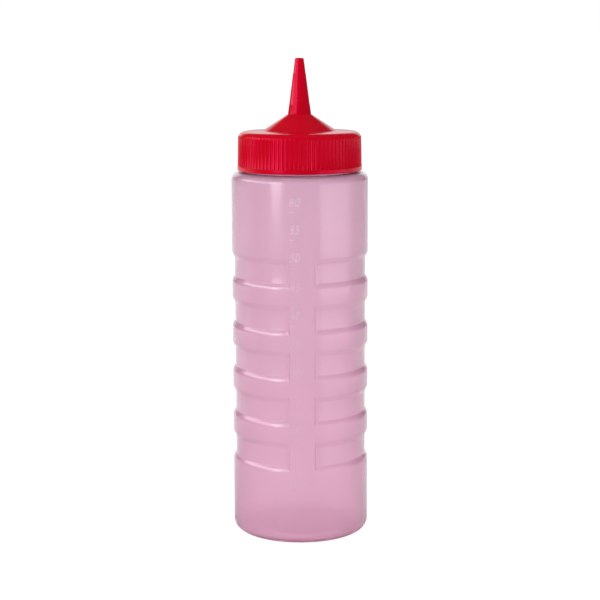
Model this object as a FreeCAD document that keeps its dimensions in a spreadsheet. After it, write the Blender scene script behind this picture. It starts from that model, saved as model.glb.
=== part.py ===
"""Squeeze bottle: a blow-moulded, wide-mouthed bottle and its ribbed screw cap with a cone and a nozzle.

+Z is up. The origin is the middle of the foot ring, on the surface that the bottle stands on.
The plain strip between the ends of the grip bands faces the front, -Y. Lengths are in millimetres.
"""
import FreeCAD
import Part
import Sketcher
import math
import os

# Lengths nearer to each other than this count as equal.
SAME_LENGTH = 1e-4

# The driving sizes: name, number, and what it is.
SIZES = (
    ("body_diameter", 70.0, "outside of the bottle's smooth wall"),
    ("body_height", 187.4, "foot to the top of the shoulder"),
    ("wall", 1.0, "blow-moulded wall"),
    ("shoulder_round", 4.1, "outside rounding of the shoulder"),
    ("foot_round", 5.0, "outside rounding of the foot"),
    ("base_wall", 1.4, "thickness of the base"),
    ("foot_ring", 4.0, "width of the flat ring the bottle stands on"),
    ("dish_height", 2.2, "how far the middle of the base is raised"),
    ("dish_run", 3.5, "width of the slope up to the raised middle"),
    ("shoulder_ledge", 6.5, "smooth wall to neck, across the shoulder"),
    ("neck_wall", 1.6, "thickness of the neck"),
    ("neck_height", 19.4, "shoulder to the rim of the mouth"),
    ("band_count", 5, "recessed grip bands"),
    ("band_pitch", 23.4, "one grip band to the next"),
    ("band_lowest", 45.4, "middle of the lowest grip band"),
    ("band_depth", 1.38, "depth of a grip band"),
    ("band_floor", 9.8, "height of a grip band's floor"),
    ("band_slope", 2.7, "height of the slopes above and below the floor"),
    ("strip_width", 13.2, "plain strip down the front, at the smooth wall"),
    ("strip_slope", 1.5, "width of the slope on each side of the strip"),
    ("cap_gap", 0.8, "shoulder to the lower edge of the cap"),
    ("thread_space", 1.2, "neck to the bore of the cap, where the thread runs"),
    ("skirt_wall", 1.7, "cap bore to the crests of the ribs, at the top"),
    ("skirt_draft", 0.3, "how much the skirt spreads from top to flange"),
    ("flange_height", 2.3, "smooth ring at the lower edge of the cap"),
    ("flange_lip", 0.2, "how far the flange stands out from the skirt"),
    ("top_wall", 1.5, "thickness of the cap's flat top"),
    ("top_round", 3.5, "outside rounding of the cap's top edge"),
    ("corner_round", 1.0, "rounding inside the cap's top edge"),
    ("rib_count", 90, "ribs round the skirt"),
    ("rib_depth", 0.35, "depth of the hollow between two ribs"),
    ("hollow_width", 1.5, "width of the hollow at the skirt"),
    ("hollow_floor", 0.6, "width of the hollow's flat floor"),
    ("cone_foot", 37.7, "outside diameter of the cone at the flat top"),
    ("cone_height", 8.3, "flat top to the foot of the nozzle"),
    ("cone_wall", 1.6, "thickness of the cone, measured upright"),
    ("nozzle_foot", 11.9, "outside diameter at the foot of the nozzle"),
    ("nozzle_tip", 4.4, "outside diameter at the end of the nozzle"),
    ("nozzle_height", 28.3, "cone to the end of the nozzle"),
    ("nozzle_wall", 1.1, "thickness of the nozzle"),
    ("nozzle_step", 0.1, "ledge at each trimming ring of the nozzle"),
    ("lower_ring", 5.1, "cone to the lower trimming ring"),
    ("upper_ring", 20.7, "cone to the upper trimming ring"),
    ("tip_round", 0.8, "rounding at the end of the nozzle"),
    ("junction_round", 0.8, "rounding where the nozzle meets the cone"),
)


class Size:
    """A length as a number, and as the expression that works it out from the sheet."""

    def __init__(self, number, text=None):
        self.number = float(number)
        self.text = text or repr(number)

    def join(self, sign, other, number):
        other = other if isinstance(other, Size) else Size(other)
        return Size(number(self.number, other.number), f"({self.text} {sign} {other.text})")

    def __add__(self, other):
        return self.join("+", other, lambda a, b: a + b)

    def __sub__(self, other):
        return self.join("-", other, lambda a, b: a - b)

    def __mul__(self, other):
        return self.join("*", other, lambda a, b: a * b)

    def __truediv__(self, other):
        return self.join("/", other, lambda a, b: a / b)

    def __neg__(self):
        return Size(0) - self

    def height_at(self, across):
        """For the radius of a circle: how high its edge is, this far across from its middle."""
        number = math.sqrt(self.number ** 2 - across.number ** 2)
        return Size(number, f"sqrt({self.text} ^ 2 - {across.text} ^ 2)")


ZERO = Size(0)


def make_sheet(doc):
    """Write the driving sizes into the document's spreadsheet and return them by name."""
    sheet = doc.addObject("Spreadsheet::Sheet", "sizes")
    for row, (name, number, meaning) in enumerate(SIZES, start=1):
        sheet.set(f"A{row}", name)
        sheet.set(f"B{row}", str(number))
        sheet.set(f"C{row}", meaning)
        sheet.setAlias(f"B{row}", name)
    doc.recompute()
    return {name: Size(number, f"sizes.{name}") for name, number, meaning in SIZES}


def offset_shift(thickness, depth, run):
    """How far a corner moves along a wall when the wall and a slope, depth across run, are both offset."""
    number = thickness.number * math.tan(math.atan2(depth.number, run.number) / 2)
    return Size(number, f"({thickness.text} * tan(atan({depth.text} / {run.text}) / 2))")


def bind(feature, name, size):
    """Set a length of a feature and tie it to the sheet."""
    setattr(feature, name, size.number)
    feature.setExpression(name, size.text)


def origin_feature(body, role):
    return next(feature for feature in body.Origin.OriginFeatures if feature.Role == role)


def make_sketch(body, name, plane, height=None):
    sketch = body.newObject("Sketcher::SketchObject", name)
    sketch.AttachmentSupport = [(origin_feature(body, plane), "")]
    sketch.MapMode = "FlatFace"
    if height is not None:
        sketch.setExpression("AttachmentOffset.Base.z", height.text)
    return sketch


def bind_rule(sketch, rule, size):
    """Add a constraint to the sketch and tie its number to the sheet."""
    index = sketch.addConstraint(rule)
    sketch.setExpression(f"Constraints[{index}]", size.text)


def place_point(sketch, geometry, point, x, y):
    """Hold a point of the sketch at x, y. None leaves that direction to the point's neighbours."""
    for kind, distance, axis in (("DistanceX", x, -2), ("DistanceY", y, -1)):
        if distance is ZERO:
            sketch.addConstraint(Sketcher.Constraint("PointOnObject", geometry, point, axis))
        elif distance is not None:
            rule = Sketcher.Constraint(kind, -1, 1, geometry, point, distance.number)
            bind_rule(sketch, rule, distance)


def draw_outline(sketch, corners):
    """Draw a closed outline through the corners, each held in its place."""
    points = [FreeCAD.Vector(x.number, y.number, 0) for x, y in corners]
    count = len(points)
    for index in range(count):
        sketch.addGeometry(Part.LineSegment(points[index], points[(index + 1) % count]))
    for index in range(count):
        sketch.addConstraint(Sketcher.Constraint("Coincident", index, 2, (index + 1) % count, 1))
    for index, (x, y) in enumerate(corners):
        place_point(sketch, index, 1, x, y)


def revolve(body, name, kind, corners):
    """Turn an outline round Z: kind is Revolution to add material or Groove to cut it."""
    sketch = make_sketch(body, name + "_outline", "XZ_Plane")
    draw_outline(sketch, corners)
    turned = body.newObject("PartDesign::" + kind, name)
    turned.Profile = sketch
    turned.ReferenceAxis = (sketch, ["V_Axis"])
    turned.Angle = 360
    body.Document.recompute()
    return turned


def round_rings(body, name, radius, rings):
    """Round the full circles of the solid that lie at these radii and heights."""
    base = body.Tip
    picked = []
    for index, edge in enumerate(base.Shape.Edges, start=1):
        if not isinstance(edge.Curve, Part.Circle):
            continue
        for ring_radius, height in rings:
            same_radius = abs(edge.Curve.Radius - ring_radius.number) < SAME_LENGTH
            if same_radius and abs(edge.Curve.Center.z - height.number) < SAME_LENGTH:
                picked.append(f"Edge{index}")
    fillet = body.newObject("PartDesign::Fillet", name)
    fillet.Base = (base, picked)
    bind(fillet, "Radius", radius)
    body.Document.recompute()
    return fillet


def bottle_form(doc, name, size, inset, neck_radius, base, rim):
    """The bottle's form: as it is outside, or inset by the wall as the hollow inside."""
    body = doc.addObject("PartDesign::Body", name)
    radius = size["body_diameter"] / 2 - inset
    shoulder = size["body_height"] - inset
    dish_top = base + size["dish_height"]
    dish_foot = size["body_diameter"] / 2 - size["foot_round"] - size["foot_ring"]
    dish_foot = dish_foot + offset_shift(base, size["dish_height"], size["dish_run"])
    revolve(body, name + "_turned", "Revolution", (
        (ZERO, dish_top),
        (dish_foot - size["dish_run"], dish_top),
        (dish_foot, base),
        (radius, base),
        (radius, shoulder),
        (neck_radius, shoulder),
        (neck_radius, rim),
        (ZERO, rim),
    ))
    round_rings(body, name + "_foot_round", size["foot_round"] - inset, [(radius, base)])
    round_rings(body, name + "_shoulder_round", size["shoulder_round"] - inset, [(radius, shoulder)])
    cut_bands(body, name, size, inset, radius)
    fill_strip(body, name, size, inset, radius)
    return body


def cut_bands(body, name, size, inset, radius):
    """Cut the recessed grip bands, evenly spaced up the wall."""
    half_floor = size["band_floor"] / 2 + offset_shift(inset, size["band_depth"], size["band_slope"])
    half_mouth = half_floor + size["band_slope"]
    middle = size["band_lowest"]
    floor = radius - size["band_depth"]
    clear = radius + size["band_depth"]
    band = revolve(body, name + "_band", "Groove", (
        (clear, middle - half_mouth),
        (clear, middle + half_mouth),
        (radius, middle + half_mouth),
        (floor, middle + half_floor),
        (floor, middle - half_floor),
        (radius, middle - half_mouth),
    ))
    bands = body.newObject("PartDesign::LinearPattern", name + "_bands")
    bands.Originals = [band]
    bands.Direction = (origin_feature(body, "Z_Axis"), [""])
    bands.setExpression("Length", "(sizes.band_count - 1) * sizes.band_pitch")
    bands.setExpression("Occurrences", "sizes.band_count")
    body.Tip = bands
    body.Document.recompute()


def fill_strip(body, name, size, inset, radius):
    """Fill the bands again down the front, which leaves a plain strip with sloped sides."""
    half_top = size["strip_width"] / 2 - offset_shift(inset, size["band_depth"], size["strip_slope"])
    half_foot = half_top + size["strip_slope"]
    floor = (radius - size["band_depth"]).height_at(half_foot)
    root = floor - size["band_depth"]
    margin = size["band_floor"] / 2 + size["band_slope"] + size["band_depth"]
    sketch = make_sketch(body, name + "_strip_section", "XY_Plane", size["band_lowest"] - margin)
    draw_strip_section(sketch, radius, half_top, half_foot, -floor, -root)
    strip = body.newObject("PartDesign::Pad", name + "_strip")
    strip.Profile = sketch
    bind(strip, "Length", (size["band_count"] - 1) * size["band_pitch"] + margin * 2)
    body.Document.recompute()


def draw_strip_section(sketch, radius, half_top, half_foot, floor, root):
    """Draw the strip's section: an arc of the smooth wall, its sloped sides, and a root in the wall."""
    corners = (
        (-half_top, None),
        (-half_foot, floor),
        (-half_foot, root),
        (half_foot, root),
        (half_foot, floor),
        (half_top, None),
    )
    face = -radius.height_at(half_top)
    points = [FreeCAD.Vector(x.number, (y or face).number, 0) for x, y in corners]
    for start, end in zip(points, points[1:]):
        sketch.addGeometry(Part.LineSegment(start, end))
    sides = len(points) - 1
    arc = sketch.addGeometry(Part.Arc(points[0], FreeCAD.Vector(0, -radius.number, 0), points[-1]))
    arc_start = 1 if sketch.Geometry[arc].StartPoint.x < 0 else 2
    for index in range(sides - 1):
        sketch.addConstraint(Sketcher.Constraint("Coincident", index, 2, index + 1, 1))
    sketch.addConstraint(Sketcher.Constraint("Coincident", 0, 1, arc, arc_start))
    sketch.addConstraint(Sketcher.Constraint("Coincident", sides - 1, 2, arc, 3 - arc_start))
    sketch.addConstraint(Sketcher.Constraint("Coincident", arc, 3, -1, 1))
    bind_rule(sketch, Sketcher.Constraint("Radius", arc, radius.number), radius)
    for index, (x, y) in enumerate(corners):
        line, point = (index, 1) if index < sides else (sides - 1, 2)
        place_point(sketch, line, point, x, y)


def make_bottle(doc, size):
    """The bottle: its form, less the same form inset by the wall."""
    neck = size["body_diameter"] / 2 - size["shoulder_ledge"]
    rim = size["body_height"] + size["neck_height"]
    outside = bottle_form(doc, "outside", size, ZERO, neck, ZERO, rim)
    hollow = bottle_form(
        doc, "hollow", size, size["wall"], neck - size["neck_wall"], size["base_wall"], rim + size["wall"])
    bottle = doc.addObject("Part::Cut", "bottle")
    bottle.Base = outside
    bottle.Tool = hollow
    doc.recompute()
    return bottle


def make_cap(doc, size):
    """The screw cap: a ribbed skirt, a flat top that seats on the bottle's rim, a cone and a nozzle."""
    body = doc.addObject("PartDesign::Body", "cap")
    bore = size["body_diameter"] / 2 - size["shoulder_ledge"] + size["thread_space"]
    skirt = bore + size["skirt_wall"]
    skirt_low = skirt + size["skirt_draft"]
    flange = skirt_low + size["flange_lip"]
    low = size["body_height"] + size["cap_gap"]
    ledge = low + size["flange_height"]
    seat = size["body_height"] + size["neck_height"]
    top = seat + size["top_wall"]
    cone = size["cone_foot"] / 2
    nozzle = size["nozzle_foot"] / 2
    neck_of_cone = top + size["cone_height"]
    end = neck_of_cone + size["nozzle_height"]
    tip = size["nozzle_tip"] / 2
    cone_run = cone - nozzle
    taper = (nozzle - tip - size["nozzle_step"] * 2) / size["nozzle_height"]
    lower = nozzle - taper * size["lower_ring"]
    upper = nozzle - taper * size["upper_ring"] - size["nozzle_step"]
    bore_foot = nozzle - size["nozzle_wall"]
    bore_foot_height = neck_of_cone - size["cone_wall"] + size["nozzle_wall"] * size["cone_height"] / cone_run
    cone_inside = cone + (size["top_wall"] - size["cone_wall"]) * cone_run / size["cone_height"]
    revolve(body, "cap_turned", "Revolution", (
        (bore, low),
        (flange, low),
        (flange, ledge),
        (skirt_low, ledge),
        (skirt, top),
        (cone, top),
        (nozzle, neck_of_cone),
        (lower, neck_of_cone + size["lower_ring"]),
        (lower - size["nozzle_step"], neck_of_cone + size["lower_ring"]),
        (upper, neck_of_cone + size["upper_ring"]),
        (upper - size["nozzle_step"], neck_of_cone + size["upper_ring"]),
        (tip, end),
        (tip - size["nozzle_wall"], end),
        (bore_foot, bore_foot_height),
        (cone_inside, seat),
        (bore, seat),
    ))
    round_rings(body, "top_round", size["top_round"], [(skirt, top)])
    round_rings(body, "corner_round", size["corner_round"], [(bore, seat)])
    round_rings(body, "tip_round", size["tip_round"], [(tip, end)])
    round_rings(body, "junction_round", size["junction_round"], [(nozzle, neck_of_cone)])
    slope = size["skirt_draft"] / (top - ledge)
    cut_ribs(body, size, (skirt_low, ledge), (skirt + slope * size["top_round"], top - size["top_round"]))
    return body


def cut_ribs(body, size, low, high):
    """Cut the hollows that leave the ribs, from the flange up to where the top edge starts to round."""
    sections = []
    half_floor = size["hollow_floor"] / 2
    half_mouth = size["hollow_width"] / 2
    for name, (radius, height) in (("rib_low", low), ("rib_high", high)):
        sketch = make_sketch(body, name, "XY_Plane", height)
        draw_outline(sketch, (
            (radius - size["rib_depth"], -half_floor),
            (radius - size["rib_depth"], half_floor),
            (radius, half_mouth),
            (radius + size["rib_depth"], half_mouth),
            (radius + size["rib_depth"], -half_mouth),
            (radius, -half_mouth),
        ))
        sections.append(sketch)
    hollow = body.newObject("PartDesign::SubtractiveLoft", "rib_hollow")
    hollow.Profile = sections[0]
    hollow.Sections = sections[1:]
    hollow.Ruled = True
    body.Document.recompute()
    ribs = body.newObject("PartDesign::PolarPattern", "ribs")
    ribs.Originals = [hollow]
    ribs.Axis = (origin_feature(body, "Z_Axis"), [""])
    ribs.Angle = 360
    ribs.setExpression("Occurrences", "sizes.rib_count")
    body.Tip = ribs
    body.Document.recompute()


def check(doc, parts):
    """Stop if an object failed to build, or a part isn't one sound solid."""
    for thing in doc.Objects:
        if {"Invalid", "Error"} & set(thing.State):
            raise RuntimeError(f"{thing.Name} did not build: {thing.State}")
    for part in parts:
        shape = part.Shape
        if shape.isNull() or not shape.isValid() or len(shape.Solids) != 1:
            raise RuntimeError(f"{part.Label} is not one sound solid")


def main():
    doc = FreeCAD.newDocument("squeeze_bottle")
    size = make_sheet(doc)
    parts = [make_bottle(doc, size), make_cap(doc, size)]
    doc.recompute()
    check(doc, parts)
    os.makedirs("parts", exist_ok=True)
    for part in parts:
        part.Shape.exportStep(f"parts/{part.Label}.step")
        box = part.Shape.BoundBox
        volume = part.Shape.Volume / 1000
        print(f"{part.Label}: {volume:.2f} cm3, {box.XLength:.2f} x {box.YLength:.2f} x {box.ZLength:.2f} mm,"
              f" z {box.ZMin:.2f} to {box.ZMax:.2f}, {len(part.Shape.Faces)} faces")


main()
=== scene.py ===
# %% [markdown]
# # A squeeze bottle for sauces
#
# The real object has two pieces: a soft, blow-moulded bottle of tinted polyethylene, and a hard,
# injection-moulded screw cap with a cone and a nozzle. Both are nearly round, so both can be modelled as
# a potter works: one ring of points is drawn up and in or out, row by row, until it has the whole outline.
# What is not round, the plain strip between the grip bands and the ribs of the cap, is shaped afterwards
# on the finished rings. This file works in millimetres and hands metres to Blender.

# %% Load the frame
import math

import bmesh
import bpy
from mathutils import Euler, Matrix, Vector


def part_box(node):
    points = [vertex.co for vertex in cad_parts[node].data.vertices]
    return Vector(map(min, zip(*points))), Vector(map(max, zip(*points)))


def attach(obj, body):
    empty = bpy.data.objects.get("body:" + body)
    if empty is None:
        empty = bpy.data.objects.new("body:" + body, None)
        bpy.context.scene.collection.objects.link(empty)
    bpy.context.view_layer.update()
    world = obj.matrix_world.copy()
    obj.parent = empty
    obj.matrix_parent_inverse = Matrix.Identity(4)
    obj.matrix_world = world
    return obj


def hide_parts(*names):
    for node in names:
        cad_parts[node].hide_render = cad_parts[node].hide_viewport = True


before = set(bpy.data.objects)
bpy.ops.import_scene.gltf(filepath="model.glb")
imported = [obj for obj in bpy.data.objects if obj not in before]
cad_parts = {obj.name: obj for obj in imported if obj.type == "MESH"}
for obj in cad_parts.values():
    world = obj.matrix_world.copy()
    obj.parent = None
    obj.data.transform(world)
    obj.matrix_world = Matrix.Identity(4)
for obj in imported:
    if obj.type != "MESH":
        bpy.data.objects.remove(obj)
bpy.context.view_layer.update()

MM = 0.001
NEAR = 0.01
NEAR_BEARING = 0.05
SMOOTH_BELOW = 30

# %% [markdown]
# ## Working by hand without a window
#
# An operator acts on everything that is selected, and the frame arrives selected. So each piece starts by
# deselecting all, and points, edges or faces are then picked in code, by where they are. A few small
# helpers keep that short. The front of the bottle is -Y, and bearings are measured from there. A point
# counts as on a row within NEAR millimetres, and as on a column within NEAR_BEARING degrees.


# %% Helpers to select and to draw rings
def only(piece):
    """Select this piece and nothing else."""
    for other in list(bpy.context.selected_objects):
        other.select_set(False)
    piece.select_set(True)
    bpy.context.view_layer.objects.active = piece


def open_piece(piece, kind="VERT"):
    """Go into edit mode on a piece, with nothing in it selected."""
    only(piece)
    bpy.ops.object.mode_set(mode="EDIT")
    bpy.ops.mesh.select_mode(type=kind)
    bpy.ops.mesh.select_all(action="DESELECT")


def close_piece():
    """Go back to object mode."""
    bpy.ops.object.mode_set(mode="OBJECT")


def pick(piece, test, kind="verts"):
    """Select the points, edges or faces of the open piece that pass the test."""
    bpy.ops.mesh.select_all(action="DESELECT")
    mesh = bmesh.from_edit_mesh(piece.data)
    count = 0
    for part in getattr(mesh, kind):
        if test(part):
            part.select_set(True)
            count += 1
    mesh.select_flush(True)
    bmesh.update_edit_mesh(piece.data)
    return count


def radius_of(point):
    """Millimetres from the axis."""
    return math.hypot(point.x, point.y) / MM


def bearing_of(point):
    """Degrees round the axis from the front, positive towards +X."""
    return math.degrees(math.atan2(point.x, -point.y))


def turn(degrees):
    """Turn what is selected round the axis. With no window, Blender's rotate turns the other way."""
    bpy.ops.transform.rotate(value=-math.radians(degrees), orient_axis="Z", center_override=(0, 0, 0))


def widen(factor):
    """Scale what is selected away from the axis, or towards it."""
    bpy.ops.transform.resize(value=(factor, factor, 1), center_override=(0, 0, 0))


def draw_up(start, rows):
    """Extrude the selected ring from its (radius, height) through each of the rows."""
    radius, height = start
    for next_radius, next_height in rows:
        rise = (next_height - height) * MM
        bpy.ops.mesh.extrude_region_move(TRANSFORM_OT_translate={"value": (0, 0, rise)})
        widen(next_radius / radius)
        radius, height = next_radius, next_height


def rounding(middle, radius, start, end, steps):
    """Rows along the arc of a rounded corner. 0 degrees points outwards and 90 degrees up."""
    turns = [math.radians(start + (end - start) * step / steps) for step in range(steps + 1)]
    return [(middle[0] + radius * math.cos(a), middle[1] + radius * math.sin(a)) for a in turns]


def between(start, end, count):
    """Evenly spaced rows after start, up to and with end."""
    return [tuple(a + (b - a) * step / count for a, b in zip(start, end)) for step in range(1, count + 1)]


def apply_all(piece):
    """Apply the modifiers of a piece, in their order."""
    only(piece)
    for modifier in list(piece.modifiers):
        bpy.ops.object.modifier_apply(modifier=modifier.name)


def soften(piece, width, segments, sharper_than):
    """Bevel the edges of a piece that fold by more degrees than this, after its other modifiers."""
    soft = piece.modifiers.new("soft corners", "BEVEL")
    soft.width = width * MM
    soft.segments = segments
    soft.limit_method = "ANGLE"
    soft.angle_limit = math.radians(sharper_than)
    apply_all(piece)


def make_face_outwards():
    """Turn every face of the open piece outwards, and close it."""
    bpy.ops.mesh.select_all(action="SELECT")
    bpy.ops.mesh.normals_make_consistent(inside=False)
    close_piece()


def shade_smooth(piece):
    """Shade a piece smooth, apart from its sharper edges."""
    only(piece)
    bpy.ops.object.shade_smooth_by_angle(angle=math.radians(SMOOTH_BELOW))


# %% [markdown]
# ## The bottle
#
# Blow moulding presses a soft tube against a cold mould, so the outside has the mould's exact form, the
# inside follows it at the wall's thickness, and no corner is quite sharp. That is the order here: the
# outside as one skin, then Solidify for the wall, then small bevels on every corner. Five grip bands run
# round the wall and stop at a plain strip down the front, which carries the scale.
#
# The sizes repeat those of the part, because this file can't read its source. The largest ones come from
# the frame itself. BAND_REACH is from the middle of a band to where its slopes end. ROUNDED_SLOPE holds how
# far below the floor's edge each row of a band's lower slope lies, and how deep it is still pushed in.

# %% Sizes of the bottle
bottle_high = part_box("bottle")[1]
WALL = bottle_high.x / MM
RIM = bottle_high.z / MM
SHOULDER = 187.4
SHOULDER_ROUND = 4.1
FOOT_ROUND = 5.0
FOOT_RING = 4.0
DISH_HEIGHT = 2.2
DISH_RUN = 3.5
NECK = WALL - 6.5
BAND_PITCH = 23.4
BANDS = [45.4 + BAND_PITCH * band for band in range(5)]
BAND_DEPTH = 1.38
HALF_FLOOR = 4.9
BAND_SLOPE = 2.7
BAND_REACH = HALF_FLOOR + BAND_SLOPE
ROUNDED_SLOPE = [(1.9, 0.23), (1.4, 0.45), (0.9, 0.71)]
STRIP_TOP = 6.6
STRIP_FOOT = 8.1
COLUMNS = 192
print(f"wall radius {WALL:.2f}, rim at {RIM:.2f}, bands at {[round(b, 1) for b in BANDS]}")

# %% [markdown]
# ### The outside, ring by ring
#
# A filled circle in the middle of the base is the start, and its edge is drawn out over the raised
# middle, round the foot, up the wall, over the shoulder and up the neck. Rows are put where something
# will be shaped later: at the top, floor and foot of each band. A lathe tool such as Screw would give the
# same form from one line, but drawn rings can be picked by height straight away.

# %% Draw the outside of the bottle
foot_inner = WALL - FOOT_ROUND - FOOT_RING
start = (foot_inner - DISH_RUN, DISH_HEIGHT)
rows = [(foot_inner, 0.0)]
rows += rounding((WALL - FOOT_ROUND, FOOT_ROUND), FOOT_ROUND, -90, 0, steps=12)
rows += between(rows[-1], (WALL, BANDS[0] - BAND_REACH), count=5)
for band in BANDS:
    for below, depth in ROUNDED_SLOPE:
        rows.append((WALL, band - HALF_FLOOR - below))
    for height in (-HALF_FLOOR, HALF_FLOOR, BAND_REACH):
        rows.append((WALL, band + height))
    if band != BANDS[-1]:
        rows.append((WALL, band + BAND_PITCH - BAND_REACH))
shoulder_middle = (WALL - SHOULDER_ROUND, SHOULDER - SHOULDER_ROUND)
rows += between(rows[-1], (WALL, shoulder_middle[1]), count=6)
rows += rounding(shoulder_middle, SHOULDER_ROUND, 0, 90, steps=10)[1:]
rows += [(NECK, SHOULDER)]
rows += between((NECK, SHOULDER), (NECK, RIM), count=4)

bpy.ops.object.select_all(action="DESELECT")
bpy.ops.mesh.primitive_circle_add(vertices=COLUMNS, radius=start[0] * MM, fill_type="TRIFAN",
                                  location=(0, 0, 0))
shell = bpy.context.object
shell.name = "bottle_shell"
open_piece(shell)
bpy.ops.mesh.select_all(action="SELECT")
bpy.ops.transform.translate(value=(0, 0, start[1] * MM))
pick(shell, lambda edge: edge.is_boundary, "edges")
draw_up(start, rows)
print("rings", len(rows) + 1, "points", len(shell.data.vertices))

# %% [markdown]
# ### The grip bands and the plain strip
#
# The bands are pushed in only outside the strip. First four columns of points are turned to where the
# strip's sloped sides start and end. Then every point on a band's floor moves in by the depth. The slopes
# form by themselves, because the rows above and below stay on the wall. The lower slope bulges, so three
# rows on it move in by less and less, and their end points also turn towards the strip, where its side is
# that deep. Each corner is then one bent square, and a line joined across it gives the mitre that a mould
# cutter leaves.

# %% Push the bands in
STRIP_TOP_BEARING = math.degrees(math.asin(STRIP_TOP / WALL))
STRIP_FOOT_BEARING = math.degrees(math.asin(STRIP_FOOT / (WALL - BAND_DEPTH)))
STEP = 360 / COLUMNS
STRIP_COLUMNS = ((6, STRIP_TOP_BEARING), (7, STRIP_FOOT_BEARING))
for side in (-1, 1):
    for column, bearing in STRIP_COLUMNS:
        was = column * STEP * side
        pick(shell, lambda v: abs(bearing_of(v.co) - was) < STEP / 4 and radius_of(v.co) > 1)
        turn(bearing * side - was)


def outside_strip(vert):
    """Whether a point lies where the bands are, round from the foot of the strip's side."""
    return abs(bearing_of(vert.co)) > STRIP_FOOT_BEARING - NEAR_BEARING


def on_floor(vert):
    """Whether a point of the wall lies on the floor of a band, outside the strip."""
    height = vert.co.z / MM
    return outside_strip(vert) and any(abs(height - band) < HALF_FLOOR + NEAR for band in BANDS)


pushed = pick(shell, on_floor)
widen((WALL - BAND_DEPTH) / WALL)


def on_slope(vert, below):
    """Whether a point lies on this row of a band's lower slope, outside the strip."""
    height = vert.co.z / MM
    return outside_strip(vert) and any(abs(height - band + HALF_FLOOR + below) < NEAR for band in BANDS)


def ends_row(vert, below, side):
    """Whether a point is the last one of a row on this side of the strip."""
    return on_slope(vert, below) and abs(bearing_of(vert.co) - side * STRIP_FOOT_BEARING) < NEAR_BEARING


ends = []
for below, depth in ROUNDED_SLOPE:
    pushed += pick(shell, lambda v: on_slope(v, below))
    widen((WALL - depth) / WALL)
    back = (STRIP_FOOT_BEARING - STRIP_TOP_BEARING) * (1 - depth / BAND_DEPTH)
    for side in (-1, 1):
        pick(shell, lambda v: ends_row(v, below, side))
        turn(-back * side)
    ends.append((below, STRIP_FOOT_BEARING - back))


CORNERS = [(BAND_REACH, STRIP_TOP_BEARING), (-BAND_REACH, STRIP_TOP_BEARING),
           (HALF_FLOOR, STRIP_FOOT_BEARING), (-HALF_FLOOR - ends[0][0], ends[0][1])]


def at_corner(vert):
    """Whether a point is one of the two across which a band's corner folds."""
    bearing = abs(bearing_of(vert.co))
    heights = [vert.co.z / MM - band for band in BANDS]
    return any(abs(height - above) < NEAR and abs(bearing - round_by) < NEAR_BEARING
               for height in heights for above, round_by in CORNERS)


corners = pick(shell, at_corner)
edges_before = len(bmesh.from_edit_mesh(shell.data).edges)
bpy.ops.mesh.vert_connect()
mitres = len(bmesh.from_edit_mesh(shell.data).edges) - edges_before
print("points pushed in", pushed, "corner points", corners, "mitres", mitres)

# %% [markdown]
# ### A flat for the scale
#
# The numbers stand 0.2 mm proud, yet the bottle has to keep its width. So the middle of the strip is
# pressed in by that much, fading out to both sides. Proportional editing does it in one move: the column
# of points on the front line moves back, and its neighbours follow less and less.

# %% Press the strip in a little
MARK_HEIGHT = 0.2
STRIP_FADE = 9.0
pick(shell, lambda v: abs(bearing_of(v.co)) < NEAR_BEARING and radius_of(v.co) > WALL - NEAR)
bpy.ops.transform.translate(value=(0, MARK_HEIGHT * MM, 0), use_proportional_edit=True,
                            proportional_size=STRIP_FADE * MM, proportional_edit_falloff="SMOOTH")
make_face_outwards()
front = min(v.co.y for v in shell.data.vertices if abs(v.co.x) < 0.1 * MM)
print("front of the strip at", round(front / MM, 3))

# %% [markdown]
# ### The wall
#
# Solidify gives the skin its thickness, inwards, with even offset so that the slopes of the bands are as
# thick as their floors. A weight on each point says how much of the full thickness it gets: the neck is
# the thickest part, the base comes next, and the blown wall is the thinnest.

# %% Thicken the skin
NECK_WALL = 1.6
BASE_WALL = 1.4
BODY_WALL = 1.0
group = shell.vertex_groups.new(name="thickness")
for vert in shell.data.vertices:
    height = vert.co.z / MM
    if height > SHOULDER - NEAR and radius_of(vert.co) < NECK + NEAR:
        share = 1.0
    elif height < FOOT_ROUND / 2 and radius_of(vert.co) < WALL - FOOT_ROUND / 3:
        share = BASE_WALL / NECK_WALL
    else:
        share = BODY_WALL / NECK_WALL
    group.add([vert.index], share, "REPLACE")

wall = shell.modifiers.new("wall", "SOLIDIFY")
wall.thickness = NECK_WALL * MM
wall.offset = -1
wall.use_even_offset = True
wall.use_quality_normals = True
wall.vertex_group = "thickness"
soften(shell, width=0.32, segments=3, sharper_than=14)
print("bottle has", len(shell.data.polygons), "faces")

# %% [markdown]
# ### What stands proud of the mould
#
# The mould is engraved with a scale in centilitres, with the screw thread of the neck, and with the slot
# that pinches the tube shut, which leaves a low seam across the base. Each is modelled as a solid that
# reaches into the wall, and a Boolean for each joins it to the bottle, so that no wall is left inside. The
# scale is made first but joined last, because its small faces suffer from any Boolean that comes after.


# %% Helpers for raised work
def merge(pieces, name):
    """Join the pieces into one, under a new name."""
    only(pieces[0])
    for piece in pieces[1:]:
        piece.select_set(True)
    bpy.ops.object.join()
    pieces[0].name = name
    return pieces[0]


def unite(piece, raised):
    """Add the raised solids to a piece, and take their own object away."""
    union = piece.modifiers.new("raised", "BOOLEAN")
    union.operation = "UNION"
    union.solver = "EXACT"
    union.object = raised
    apply_all(piece)
    only(raised)
    bpy.ops.object.delete()


def open_edges(piece):
    """How many edges of a piece don't lie between two faces."""
    mesh = bmesh.new()
    mesh.from_mesh(piece.data)
    count = sum(not edge.is_manifold for edge in mesh.edges)
    mesh.free()
    return count


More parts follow.
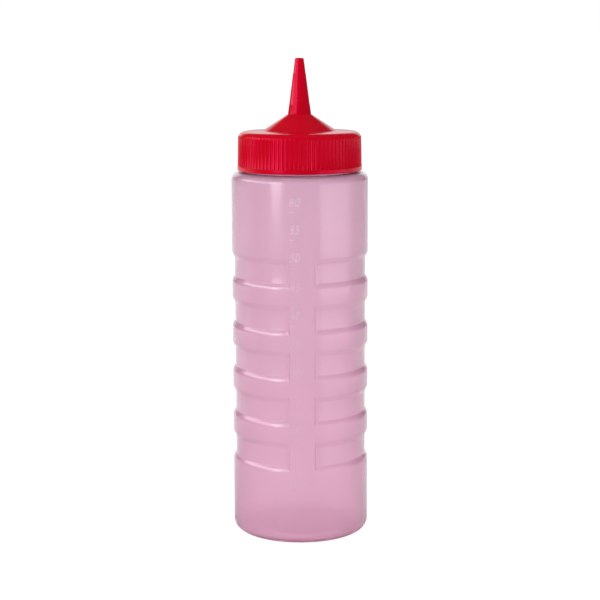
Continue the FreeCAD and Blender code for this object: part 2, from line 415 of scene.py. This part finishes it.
# %% [markdown]
# ### The scale
#
# The numbers belong where the filling really stands, so their heights are worked out from the inside of
# the bottle: slice by slice, with less room at the bands. The level runs through the foot of each number,
# and a short tick follows half a step below it. Each mark is a flat shape that stands before the strip.
# Shrinkwrap lays it on the wall, along the curve of it, and Solidify gives it its height, partly sunk into
# the wall.

# %% Levels of the scale
MARK_TALL = 4.3
MARK_WIDE = 5.4
MARK_LEFT = -6.3
MARK_RISE = 3.2
MARK_SUNK = 0.35
SLICE = 0.1
CENTILITRE = 10000


def level_of(centilitres):
    """Height in mm that this much filling reaches."""
    left = centilitres * CENTILITRE
    height = DISH_HEIGHT + BASE_WALL
    while left > 0:
        height += SLICE
        at_band = any(abs(height - band) < HALF_FLOOR + BAND_SLOPE / 2 for band in BANDS)
        inside = WALL - BODY_WALL - BAND_DEPTH * at_band
        left -= math.pi * inside ** 2 * SLICE
    return height


FULL = 60
BETWEEN_NUMBERS = 5
print("levels", {amount: round(level_of(amount), 1) for amount in (BETWEEN_NUMBERS, FULL)})


# %% Numbers and ticks
BEFORE_WALL = 1.2 * WALL
LETTER_WELD = 0.001


def lay_on_wall(mark, wide, tall, amount):
    """Size a flat mark, stand it before the strip at this amount, and lay it on the wall as a low solid."""
    place = (MARK_LEFT + wide / 2, -BEFORE_WALL, level_of(amount) + MARK_RISE - tall / 2)
    low = [min(v.co[axis] for v in mark.data.vertices) for axis in (0, 1)]
    high = [max(v.co[axis] for v in mark.data.vertices) for axis in (0, 1)]
    middle = [(a + b) / 2 for a, b in zip(low, high)]
    open_piece(mark)
    bpy.ops.mesh.select_all(action="SELECT")
    bpy.ops.mesh.remove_doubles(threshold=LETTER_WELD * MM)
    bpy.ops.transform.translate(value=(-middle[0], -middle[1], 0))
    bpy.ops.transform.resize(value=(wide * MM / (high[0] - low[0]), tall * MM / (high[1] - low[1]), 1),
                             center_override=(0, 0, 0))
    bpy.ops.transform.rotate(value=math.radians(-90), orient_axis="X", center_override=(0, 0, 0))
    bpy.ops.transform.translate(value=Vector(place) * MM)
    close_piece()
    wrap = mark.modifiers.new("lay on the wall", "SHRINKWRAP")
    wrap.target = shell
    wrap.wrap_method = "PROJECT"
    wrap.use_project_y = True
    height = mark.modifiers.new("height", "SOLIDIFY")
    height.thickness = (MARK_HEIGHT + MARK_SUNK) * MM
    height.offset = (MARK_HEIGHT - MARK_SUNK) / (MARK_HEIGHT + MARK_SUNK)
    apply_all(mark)
    return mark


LETTER_SIZE = 6
LETTER_CURVE_STEPS = 5
SLANT = 0.25
marks = []
for amount in range(FULL, 0, -BETWEEN_NUMBERS):
    bpy.ops.object.text_add(location=(0, 0, 0))
    mark = bpy.context.object
    mark.data.body = f"{amount:02d}"
    mark.data.size = LETTER_SIZE * MM
    mark.data.shear = SLANT
    mark.data.resolution_u = LETTER_CURVE_STEPS
    bpy.ops.object.convert(target="MESH")
    marks.append(lay_on_wall(mark, MARK_WIDE, MARK_TALL, amount))

TICK_WIDE = 2.6
TICK_TALL = 0.45
for amount in range(FULL, BETWEEN_NUMBERS, -BETWEEN_NUMBERS):
    bpy.ops.mesh.primitive_grid_add(x_subdivisions=4, y_subdivisions=1, size=MM, location=(0, 0, 0))
    marks.append(lay_on_wall(bpy.context.object, TICK_WIDE, TICK_TALL, amount - BETWEEN_NUMBERS / 2))
print("marks", len(marks), "open edges", sum(open_edges(mark) for mark in marks))
scale = merge(marks, "scale")

# %% [markdown]
# ### Screw threads
#
# A thread is a small section carried round and up. One square face is narrowed to the section, and then
# extruded, turned and raised in steps. It starts and ends inside the wall, and comes out of it over a few
# steps, as a moulded thread runs out. The cap gets the same thread inside, half a pitch higher.

# %% Draw a thread
THREAD_PITCH = 4.5
THREAD_STEP = 10
THREAD_TURNS = 1.5
THREAD_TALL = 1.6
CREST_SHARE = 0.45
RUN_OUT = 4


def thread(name, root, crest, height):
    """A ridge from the root's radius to the crest's, rising round the axis from this height."""
    bpy.ops.object.select_all(action="DESELECT")
    bpy.ops.mesh.primitive_plane_add(size=THREAD_TALL * MM, location=(0, 0, 0))
    ridge = bpy.context.object
    ridge.name = name
    open_piece(ridge)
    bpy.ops.mesh.select_all(action="SELECT")
    bpy.ops.transform.rotate(value=math.radians(90), orient_axis="Y", center_override=(0, 0, 0))
    bpy.ops.transform.resize(value=(1, abs(crest - root) / THREAD_TALL, 1), center_override=(0, 0, 0))
    outside = -1 if crest > root else 1
    pick(ridge, lambda v: v.co.y * outside > 0)
    bpy.ops.transform.resize(value=(1, 1, CREST_SHARE))
    bpy.ops.mesh.select_all(action="SELECT")
    sunk = (crest + root) / 2 - (crest - root)
    bpy.ops.transform.translate(value=(0, -sunk * MM, height * MM))
    steps = round(360 / THREAD_STEP * THREAD_TURNS)
    radius = sunk
    for step in range(1, steps + 1):
        share = min(1, step / RUN_OUT, (steps - step) / RUN_OUT)
        target = sunk + (crest - root) * share
        bpy.ops.mesh.extrude_region_move(
            TRANSFORM_OT_translate={"value": (0, 0, THREAD_PITCH * THREAD_STEP / 360 * MM)})
        turn(THREAD_STEP)
        widen(target / radius)
        radius = target
    make_face_outwards()
    return ridge


THREAD_SUNK = 0.2
THREAD_PROUD = 0.75
THREAD_START = SHOULDER + 5.5
unite(shell, thread("neck_thread", NECK - THREAD_SUNK, NECK + THREAD_PROUD, THREAD_START))
print("with the thread", len(shell.data.polygons), "faces, open edges", open_edges(shell))

# %% The seam across the base, and the joining of the scale
SEAM_LONG = 36.0
SEAM_WIDE = 0.7
SEAM_TALL = 0.6
SEAM_PROUD = 0.2
SEAM_TAPER = (0.98, 0.4, 1)
seam_middle = DISH_HEIGHT - SEAM_PROUD + SEAM_TALL / 2
bpy.ops.mesh.primitive_cube_add(size=SEAM_TALL * MM, location=(0, 0, seam_middle * MM))
seam = bpy.context.object
open_piece(seam)
bpy.ops.mesh.select_all(action="SELECT")
bpy.ops.transform.resize(value=(SEAM_LONG / SEAM_TALL, SEAM_WIDE / SEAM_TALL, 1))
pick(seam, lambda v: v.co.z < 0)
bpy.ops.transform.resize(value=SEAM_TAPER)
close_piece()
only(seam)
bpy.ops.object.transform_apply(location=True, rotation=False, scale=False)
unite(shell, seam)
print("with the seam", len(shell.data.polygons), "faces, open edges", open_edges(shell))
unite(shell, scale)
print("bottle has", len(shell.data.polygons), "faces, open edges", open_edges(shell))

# %% [markdown]
# ### Telling the raised marks apart
#
# The raised lettering is given a painted highlight: its faces get a whiter haze, stronger higher up, for
# the light that their edges catch. The material needs to know where they are, so each face that stands
# before the pressed-in strip gets a value of 1 in an attribute of its own.

# %% Tell the raised marks apart
MARK_ZONE = (MARK_LEFT - 0.7, -MARK_LEFT - 0.3, 10, SHOULDER - 5)


def strip_front(x):
    """Where the pressed-in strip lies before this point across it, in mm."""
    share = max(0.0, 1 - abs(x) / STRIP_FADE)
    return -math.sqrt(WALL ** 2 - x ** 2) + MARK_HEIGHT * share * share * (3 - 2 * share)


raised = shell.data.attributes.new("raised", "FLOAT", "FACE")
left, right, low, high = MARK_ZONE
for face in shell.data.polygons:
    x, y, z = (c / MM for c in face.center)
    if left < x < right and low < z < high and y < strip_front(x) - MARK_HEIGHT / 2:
        raised.data[face.index].value = 1.0
print("raised faces on the strip", sum(item.value > 0 for item in raised.data))

# %% Check for an even wall
UPPER_WALL = (175, 180)
around = [radius_of(v.co) for v in shell.data.vertices if UPPER_WALL[0] < v.co.z / MM < UPPER_WALL[1]]
print("upper wall from", round(min(around), 2), "to", round(max(around), 2))

# %% Put the bottle in place of its solid
shade_smooth(shell)
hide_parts("bottle")
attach(shell, "root")

# %% [markdown]
# ## The screw cap
#
# The cap is moulded in one shot from a stiffer, opaque plastic: a ribbed skirt, a flat top, a cone and a
# nozzle, all hollow. Its whole section is one closed line, outside and inside, so it can be drawn in one
# go, ring after ring, until the last ring lands on the first. Rounded corners are drawn as short arcs of
# rings. Nothing needs a bevel then, apart from the ribs.

# %% Sizes of the cap
cap_low, cap_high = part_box("cap")
CAP_FOOT = cap_low.z / MM
TIP = cap_high.z / MM
FLANGE = cap_high.x / MM
THREAD_SPACE = 1.2
FLANGE_LIP = 0.2
FLANGE_HEIGHT = 2.3
SKIRT_DRAFT = 0.3
TOP_WALL = 1.5
CROWN = 0.5
CONE_HEIGHT = 8.3
BORE = NECK + THREAD_SPACE
SKIRT_LOW = FLANGE - FLANGE_LIP
SKIRT_TOP = SKIRT_LOW - SKIRT_DRAFT
LEDGE = CAP_FOOT + FLANGE_HEIGHT
TOP = RIM + TOP_WALL
TOP_ROUND = 3.5
CONE_FOOT = 18.85
CONE_BORE = 18.68
NOZZLE_FOOT = 5.95
CONE_TOP = TOP + CONE_HEIGHT
BORE_TOP = CONE_TOP - 0.9
NOZZLE_TIP = 2.2
NOZZLE_WALL = 1.1
RING_STEP = 0.1
RING_TALL = 0.25
LOWER_RING = CONE_TOP + 5.1
UPPER_RING = CONE_TOP + 20.7
print(f"cap from {CAP_FOOT:.1f} to {TIP:.1f}, flange radius {FLANGE:.1f}")

# %% [markdown]
# ### Rounding the corners of a drawn line
#
# A corner of the section is given as its radius, height and rounding. The helper finds where the two
# sides touch a circle of that size and puts rings along its arc, as a lathe tool with a rounded nose would.


# %% A line with rounded corners
ARC_STEP = 12


def rounded_line(corners):
    """Rows along a closed line whose corners (radius, height, rounding) are replaced by arcs."""
    rows = []
    for place, (radius, height, size) in enumerate(corners):
        corner = Vector((radius, height))
        if size == 0:
            rows.append(tuple(corner))
            continue
        back = (Vector(corners[place - 1][:2]) - corner).normalized()
        ahead = (Vector(corners[(place + 1) % len(corners)][:2]) - corner).normalized()
        half = back.angle(ahead) / 2
        middle = corner + (back + ahead).normalized() * size / math.sin(half)
        first = corner + back * size / math.tan(half) - middle
        final = corner + ahead * size / math.tan(half) - middle
        sweep = first.angle_signed(final)
        steps = max(2, round(abs(math.degrees(sweep)) / ARC_STEP))
        for step in range(steps + 1):
            spoke = first.copy()
            spoke.rotate(Euler((0, 0, -sweep * step / steps)).to_matrix().to_2x2())
            rows.append(tuple(middle + spoke))
    return rows


taper = (NOZZLE_FOOT - NOZZLE_TIP - 2 * RING_STEP) / (TIP - CONE_TOP)
lower = NOZZLE_FOOT - taper * (LOWER_RING - CONE_TOP)
upper = NOZZLE_FOOT - taper * (UPPER_RING - CONE_TOP) - RING_STEP
section = [
    (BORE, CAP_FOOT, 0.25),
    (FLANGE, CAP_FOOT, 0.4),
    (FLANGE, LEDGE, 0.15),
    (SKIRT_LOW, LEDGE, 0.0),
    (SKIRT_TOP, TOP - CROWN, TOP_ROUND),
    (CONE_FOOT, TOP, 0.1),
    (NOZZLE_FOOT, CONE_TOP, 0.8),
    (lower, LOWER_RING - RING_TALL, 0.03),
    (lower - RING_STEP, LOWER_RING, 0.0),
    (upper, UPPER_RING - RING_TALL, 0.03),
    (upper - RING_STEP, UPPER_RING, 0.0),
    (NOZZLE_TIP, TIP, 0.8),
    (NOZZLE_TIP - NOZZLE_WALL, TIP, 0.15),
    (NOZZLE_FOOT - NOZZLE_WALL, BORE_TOP, 0.4),
    (CONE_BORE, RIM, 0.3),
    (BORE, RIM, 1.0),
]
cap_rows = rounded_line(section)
print("cap rings", len(cap_rows))

# %% [markdown]
# ### Columns for the ribs
#
# Ninety ribs and ninety hollows run round the skirt. Each hollow has a flat floor and two sloped sides, so
# each rib needs four columns of points. The first ring gets one point a degree, and each point is turned a
# little, so that the columns land on the edges of the ribs and of the floors. All the other rings are
# extruded from this one and keep its columns.

# %% Start the cap's first ring
RIBS = 90
RIB_DEPTH = 0.35
HOLLOW_WIDTH = 1.5
HOLLOW_FLOOR = 0.6
pitch = 360 / RIBS
floor_half = math.degrees(HOLLOW_FLOOR / 2 / SKIRT_LOW)
hollow_half = math.degrees(HOLLOW_WIDTH / 2 / SKIRT_LOW)
columns = [-hollow_half, -floor_half, floor_half, hollow_half]
even = [(place - 1.5) * pitch / 4 for place in range(4)]

bpy.ops.object.select_all(action="DESELECT")
bpy.ops.mesh.primitive_circle_add(vertices=4 * RIBS, radius=cap_rows[0][0] * MM, location=(0, 0, 0))
cap = bpy.context.object
cap.name = "screw_cap"
open_piece(cap)
bpy.ops.mesh.select_all(action="SELECT")
bpy.ops.transform.translate(value=(0, 0, cap_rows[0][1] * MM))
turn(pitch / 4 / 2)


def place_in_pitch(point):
    """Degrees from the middle of the nearest hollow."""
    return (bearing_of(point) + pitch / 2) % pitch - pitch / 2


for target, was in zip(columns, even):
    pick(cap, lambda v: abs(place_in_pitch(v.co) - was) < NEAR_BEARING)
    turn(target - was)
print("columns in one pitch", [round(c, 2) for c in columns])

# %% Draw the cap's section round
ROW_NEAR = 0.002
bpy.ops.mesh.select_all(action="SELECT")
draw_up(cap_rows[0], cap_rows[1:] + cap_rows[:1])
bpy.ops.mesh.select_all(action="SELECT")
bpy.ops.mesh.remove_doubles(threshold=ROW_NEAR * MM)
print("open edges left", pick(cap, lambda edge: edge.is_boundary, "edges"))

# %% [markdown]
# ### The ribs
#
# The hollows between the ribs are straight cuts with a floor at one slope, so they run out by themselves
# where the top edge curves inwards, in the small scallops that mark the top of each hollow. Each ring of
# the skirt is taken in turn, and its floor columns move in to the cutter's radius, where they are outside.

# %% Cut the hollows between the ribs
skirt_slope = (SKIRT_LOW - SKIRT_TOP) / (TOP - LEDGE)
over_flange = {row for row in cap_rows if row[0] < SKIRT_LOW + NEAR and row[1] > LEDGE - NEAR}
cut = 0
for radius, height in sorted(over_flange):
    floor_radius = SKIRT_LOW - skirt_slope * (height - LEDGE) - RIB_DEPTH
    if radius <= floor_radius:
        continue
    cut += pick(cap, lambda v: abs(v.co.z / MM - height) < ROW_NEAR
                and abs(radius_of(v.co) - radius) < 2 * ROW_NEAR
                and abs(place_in_pitch(v.co)) < floor_half + NEAR_BEARING)
    widen(floor_radius / radius)
make_face_outwards()
print("points cut in", cut, "faces", len(cap.data.polygons))

# %% Soften the ribs and add the thread
soften(cap, width=0.08, segments=2, sharper_than=25)
unite(cap, thread("cap_thread", BORE + THREAD_SUNK, BORE - THREAD_PROUD, THREAD_START + THREAD_PITCH / 2))
print("cap has", len(cap.data.polygons), "faces, open edges", open_edges(cap))

# %% Put the cap in place of its solid
shade_smooth(cap)
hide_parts("cap")
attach(cap, "root")

# %% [markdown]
# ## Materials
#
# Shader maths reads best as ordinary maths. Link wraps one output of a node and gives it the usual signs,
# and Finish holds one material and adds every other kind of node.


# %% Shader helpers
class Link:
    """One output socket, so that maths on what changes over a surface reads as ordinary maths."""

    def __init__(self, finish, socket):
        self.finish = finish
        self.socket = socket

    def maths(self, operation, first, second):
        node = self.finish.add("ShaderNodeMath", {"operation": operation}, {0: first, 1: second})
        return Link(self.finish, node.outputs[0])

    def __add__(self, other):
        return self.maths("ADD", self, other)

    __radd__ = __add__

    def __sub__(self, other):
        return self.maths("SUBTRACT", self, other)

    def __rsub__(self, other):
        return self.maths("SUBTRACT", other, self)

    def __mul__(self, other):
        return self.maths("MULTIPLY", self, other)

    __rmul__ = __mul__

    def either(self, other):
        return self.maths("MAXIMUM", self, other)


class Finish:
    """A material, or the world, and the nodes that make it."""

    def __init__(self, owner):
        owner.use_nodes = True
        self.tree = owner.node_tree
        self.tree.nodes.clear()

    def add(self, kind, settings=None, sockets=None):
        """Add a node: its settings first, then a value or a link for each of its sockets."""
        node = self.tree.nodes.new(kind)
        for name, value in (settings or {}).items():
            setattr(node, name, value)
        for name, value in (sockets or {}).items():
            if isinstance(value, Link):
                self.tree.links.new(value.socket, node.inputs[name])
            else:
                node.inputs[name].default_value = value
        return node

    def out(self, kind, settings=None, sockets=None, output=0):
        """Add a node, and give one of its outputs."""
        return Link(self, self.add(kind, settings, sockets).outputs[output])

    def noise(self, place, scale, detail=3.0, roughness=0.5):
        """Seeded cloud, from 0 to 1, with features about 1 / scale metres across."""
        return self.out("ShaderNodeTexNoise", {}, {
            "Vector": place, "Scale": scale, "Detail": detail, "Roughness": roughness})

    def stretch(self, factors=(1.0, 1.0, 1.0)):
        """Place on the piece, with each direction scaled by its factor."""
        place = self.out("ShaderNodeTexCoord", output="Object")
        return self.out("ShaderNodeVectorMath", {"operation": "MULTIPLY"}, {0: place, 1: factors})

    def split(self, place):
        """The three coordinates of a place or a direction."""
        node = self.add("ShaderNodeSeparateXYZ", {}, {0: place})
        return [Link(self, socket) for socket in node.outputs]

    def blend(self, share, first, second):
        """From the first colour to the second."""
        return self.out("ShaderNodeMix", {"data_type": "RGBA"}, {0: share, 6: first, 7: second}, 2)

    def ramp(self, value, start, end, low=0.0, high=1.0, kind="SMOOTHSTEP"):
        """From low to high while a value goes from start to end."""
        return self.out("ShaderNodeMapRange", {"interpolation_type": kind}, {
            0: value, 1: start, 2: end, 3: low, 4: high})

    def ray(self, kind):
        """1 where a ray is of this kind, and 0 elsewhere."""
        return self.out("ShaderNodeLightPath", output=f"Is {kind} Ray")


def new_finish(name):
    """A material with no nodes yet, and the finish to fill it."""
    material = bpy.data.materials.new(name)
    return material, Finish(material)


def grey(level):
    """A grey colour of this strength."""
    return (level, level, level, 1.0)


def dress(piece, material):
    """Give a piece this one material."""
    piece.data.materials.clear()
    piece.data.materials.append(material)


# %% [markdown]
# ### Tinted polyethylene
#
# The plastic lets light through and the dye in it takes green and some blue away, so a longer way through
# the wall looks pinker: that is a volume that absorbs. The surface is a rough, transmitting Principled
# shader with a smoother coat, for blown plastic has a dull body and a wet gloss. A little diffuse haze is
# mixed in. On the raised marks the haze is whiter and stronger, more so higher up: that is a painted
# highlight for the light that their edges catch. Blown plastic is never quite even, so noise stretched
# upwards varies the tint, the roughness and the surface. The tint also pales upwards.

# %% Tinted polyethylene
DYE = (0.9, 0.0, 0.487, 1.0)
DYE_DENSITY = 310.0
PALE_FROM = 30
PALE_SHARE = 0.6
HAZE = 0.15
MARK_HIGHLIGHT_HAZE = 0.03
MARK_HIGHLIGHT_UPWARD = 0.12
pink, shop = new_finish("tinted polyethylene")
streaks = shop.noise(shop.stretch((1.0, 1.0, 0.12)), 90.0)
patches = shop.noise(shop.stretch((1.0, 1.0, 0.5)), 28.0, 2.0)
fine = shop.noise(shop.stretch(), 900.0, 2.0)
upward = shop.ramp(shop.split(shop.stretch())[2], PALE_FROM * MM, SHOULDER * MM)
pale = upward * PALE_SHARE
uneven = shop.blend(streaks * 0.5 + patches * 0.5, (0.97, 0.96, 0.97, 1.0), grey(1.0))
clear = shop.blend(pale, uneven, (0.93, 0.95, 0.95, 1.0))
ripple = fine * 0.2 + streaks
relief = shop.out("ShaderNodeBump", {}, {"Strength": 0.06, "Distance": 0.0002, "Height": ripple})
glass = shop.out("ShaderNodeBsdfPrincipled", {}, {
    "Base Color": clear, "Roughness": 0.285 + 0.04 * patches, "IOR": 1.5, "Transmission Weight": 1.0,
    "Coat Weight": 1.0, "Coat Roughness": 0.1, "Normal": relief})
proud = shop.out("ShaderNodeAttribute", {"attribute_name": "raised"}, output="Fac")
milk_and_mark_highlight = shop.blend(pale, (0.95, 0.66, 0.82, 1.0), (0.88, 0.66, 0.79, 1.0))
# Painted highlight: the raised marks get a whiter haze colour, for the light that their edges catch.
milk_and_mark_highlight = shop.blend(proud, milk_and_mark_highlight, (0.97, 0.92, 0.95, 1.0))
haze = shop.out("ShaderNodeBsdfPrincipled", {}, {
    "Base Color": milk_and_mark_highlight, "Roughness": 1.0, "Specular IOR Level": 0.0, "Normal": relief})
# Painted highlight: the raised marks get more haze, and more of it higher up.
haze_and_mark_highlight = HAZE + (MARK_HIGHLIGHT_HAZE + MARK_HIGHLIGHT_UPWARD * upward) * proud
body = shop.out("ShaderNodeMixShader", {}, {0: haze_and_mark_highlight, 1: glass, 2: haze})
dye = shop.out("ShaderNodeVolumeAbsorption", {}, {"Color": DYE, "Density": DYE_DENSITY})
shop.add("ShaderNodeOutputMaterial", {}, {"Surface": body, "Volume": dye})
dress(shell, pink)
print("pink plastic from", len(shop.tree.nodes), "nodes")

# %% [markdown]
# ### Red moulded plastic
#
# The cap is opaque and glossy. A very fine waviness breaks the reflections as the skin of a moulding
# does, and the gloss is a little duller in patches, where hands and the carton have rubbed it.

# %% Red moulded plastic
red, shop = new_finish("red moulded plastic")
rubbed = shop.noise(shop.stretch(), 120.0, 4.0, 0.6)
skin = shop.noise(shop.stretch(), 1500.0, 2.0)
tone = shop.blend(rubbed, (0.39, 0.001, 0.009, 1.0), (0.44, 0.0013, 0.011, 1.0))
relief = shop.out("ShaderNodeBump", {}, {"Strength": 0.03, "Distance": 0.0001, "Height": skin})
moulded = shop.out("ShaderNodeBsdfPrincipled", {}, {
    "Base Color": tone, "Roughness": 0.13 + 0.06 * rubbed, "IOR": 1.5,
    "Specular IOR Level": 0.8, "Specular Tint": (1.0, 0.04, 0.2, 1.0), "Normal": relief})
shop.add("ShaderNodeOutputMaterial", {}, {"Surface": moulded})
dress(cap, red)
print("red plastic from", len(shop.tree.nodes), "nodes")

# %% [markdown]
# ## Studio
#
# The bottle stands on a pale sheet. A narrow soft light on the left draws the bright stripe down the body,
# a broad one on the right lifts that side, and a wide one high on the left lights the lower slopes of the
# bands. The world is white to the camera and to transmitted rays, as a backdrop would be. Glossy rays see
# that backdrop too, but only behind the bottle, and the camera's side stays dim.

# %% Floor
FLOOR_SIZE = 60.0
FLOOR_DROP = 0.05
DIM = 0.06
BACKDROP_GLOSS = 0.6
BESIDE_GLOSS = 0.5
PAPER_SEEN = 0.88
bpy.ops.object.select_all(action="DESELECT")
bpy.ops.mesh.primitive_plane_add(size=FLOOR_SIZE, location=(0, 0, -FLOOR_DROP * MM))
floor = bpy.context.object
floor.name = "paper_floor"
paper, shop = new_finish("white paper")
shade = shop.blend(shop.noise(shop.stretch(), 400.0, 4.0), grey(0.88), grey(0.9))
# For glossy rays the paper is painted: dim in front, as painted shade in reflections, and brighter to the
# right of the bottle and behind it, as a painted reflection that lifts the bottle's right side.
x, y = shop.split(shop.stretch())[:2]
beside = shop.ramp(x + 0.6 * y, -0.03, 0.08)
painted_reflection = shop.blend(beside, grey(DIM), grey(BESIDE_GLOSS))
painted_reflection = shop.blend(shop.ramp(y, -0.3, 0.3), painted_reflection, grey(BACKDROP_GLOSS))
in_gloss = shop.blend(shop.ray("Glossy"), shade, painted_reflection)
sheet = shop.out("ShaderNodeBsdfPrincipled", {}, {
    "Base Color": in_gloss, "Roughness": 1.0, "Specular IOR Level": 0.0})
bright = shop.out("ShaderNodeEmission", {}, {"Color": grey(1.0), "Strength": 1.05})
seen = shop.ray("Camera") * PAPER_SEEN + shop.ray("Transmission")
surface = shop.out("ShaderNodeMixShader", {}, {0: seen, 1: sheet, 2: bright})
shop.add("ShaderNodeOutputMaterial", {}, {"Surface": surface})
paper.cycles.emission_sampling = "NONE"
dress(floor, paper)
print("floor from", len(shop.tree.nodes), "nodes")

# %% World
world = bpy.data.worlds.new("white studio")
bpy.context.scene.world = world
world.cycles.sampling_method = "NONE"
shop = Finish(world)
y, z = shop.split(shop.out("ShaderNodeTexCoord", output="Generated"))[1:]
backdrop = shop.ramp(y, 0.80, 0.93, 0.01, BACKDROP_GLOSS) * shop.ramp(z, 0.0, 0.15, 1.0, 1.65)
ambient = shop.ramp(z, 0.0, 1.0, 0.45, 1.6, "LINEAR")
white = shop.ray("Camera").either(shop.ray("Transmission"))
glossy = shop.ray("Glossy")
strength = white.either((1 - white) * (glossy * backdrop + (1 - glossy) * ambient))
sky = shop.out("ShaderNodeBackground", {}, {"Color": grey(1.0), "Strength": strength})
shop.add("ShaderNodeOutputWorld", {}, {"Surface": sky})
print("world from", len(shop.tree.nodes), "nodes")


# %% Soft lights
AIM_HEIGHT = 0.12


def soft_light(name, bearing, distance, bottom, height, width, power):
    """A soft box at this bearing from the front, facing the bottle. Sizes are in metres and watts."""
    data = bpy.data.lights.new(name, "AREA")
    data.shape = "RECTANGLE"
    data.size = width
    data.size_y = height
    data.energy = power
    light = bpy.data.objects.new(name, data)
    bpy.context.scene.collection.objects.link(light)
    swing = math.radians(bearing)
    light.location = (math.sin(swing) * distance, -math.cos(swing) * distance, bottom + height / 2)
    aim = Vector((0, 0, AIM_HEIGHT)) - light.location
    light.rotation_euler = aim.to_track_quat("-Z", "Y").to_euler()
    light.visible_transmission = False
    print(name, [round(c, 2) for c in light.location])


soft_light("left_softbox", bearing=-41, distance=1.3, bottom=0.0, height=1.0, width=0.45, power=4.2)
soft_light("right_softbox", bearing=61, distance=0.7, bottom=0.0, height=0.35, width=0.75, power=0.75)
soft_light("high_softbox", bearing=-80, distance=1.5, bottom=0.55, height=0.5, width=2.4, power=11.5)

# %% [markdown]
# ### The camera
#
# A long lens stands 0.8 m away and a little higher than the nozzle, tilted down. It keeps the sides of the
# bottle nearly upright and still shows the top of the cap as a thin ellipse.

# %% Camera
AWAY = 817.13
EYE_HEIGHT = 254.21
PITCH = 9.28
ROLL = 0.19
SWING = 1.7
SENSOR = 36.0
LENS = 95.775
SIDE_SHIFT = 0.0012
data = bpy.data.cameras.new("camera")
data.sensor_width = SENSOR
data.lens = LENS
data.shift_x = SIDE_SHIFT
data.clip_start = 0.05
camera = bpy.data.objects.new("camera", data)
bpy.context.scene.collection.objects.link(camera)
swing = math.radians(SWING)
camera.location = Vector((-math.sin(swing) * AWAY, -math.cos(swing) * AWAY, EYE_HEIGHT)) * MM
camera.rotation_euler = (math.radians(90 - PITCH), math.radians(ROLL), -swing)
bpy.context.scene.camera = camera
bpy.context.scene.view_settings.view_transform = "Standard"
print("camera at", [round(c, 3) for c in camera.location])
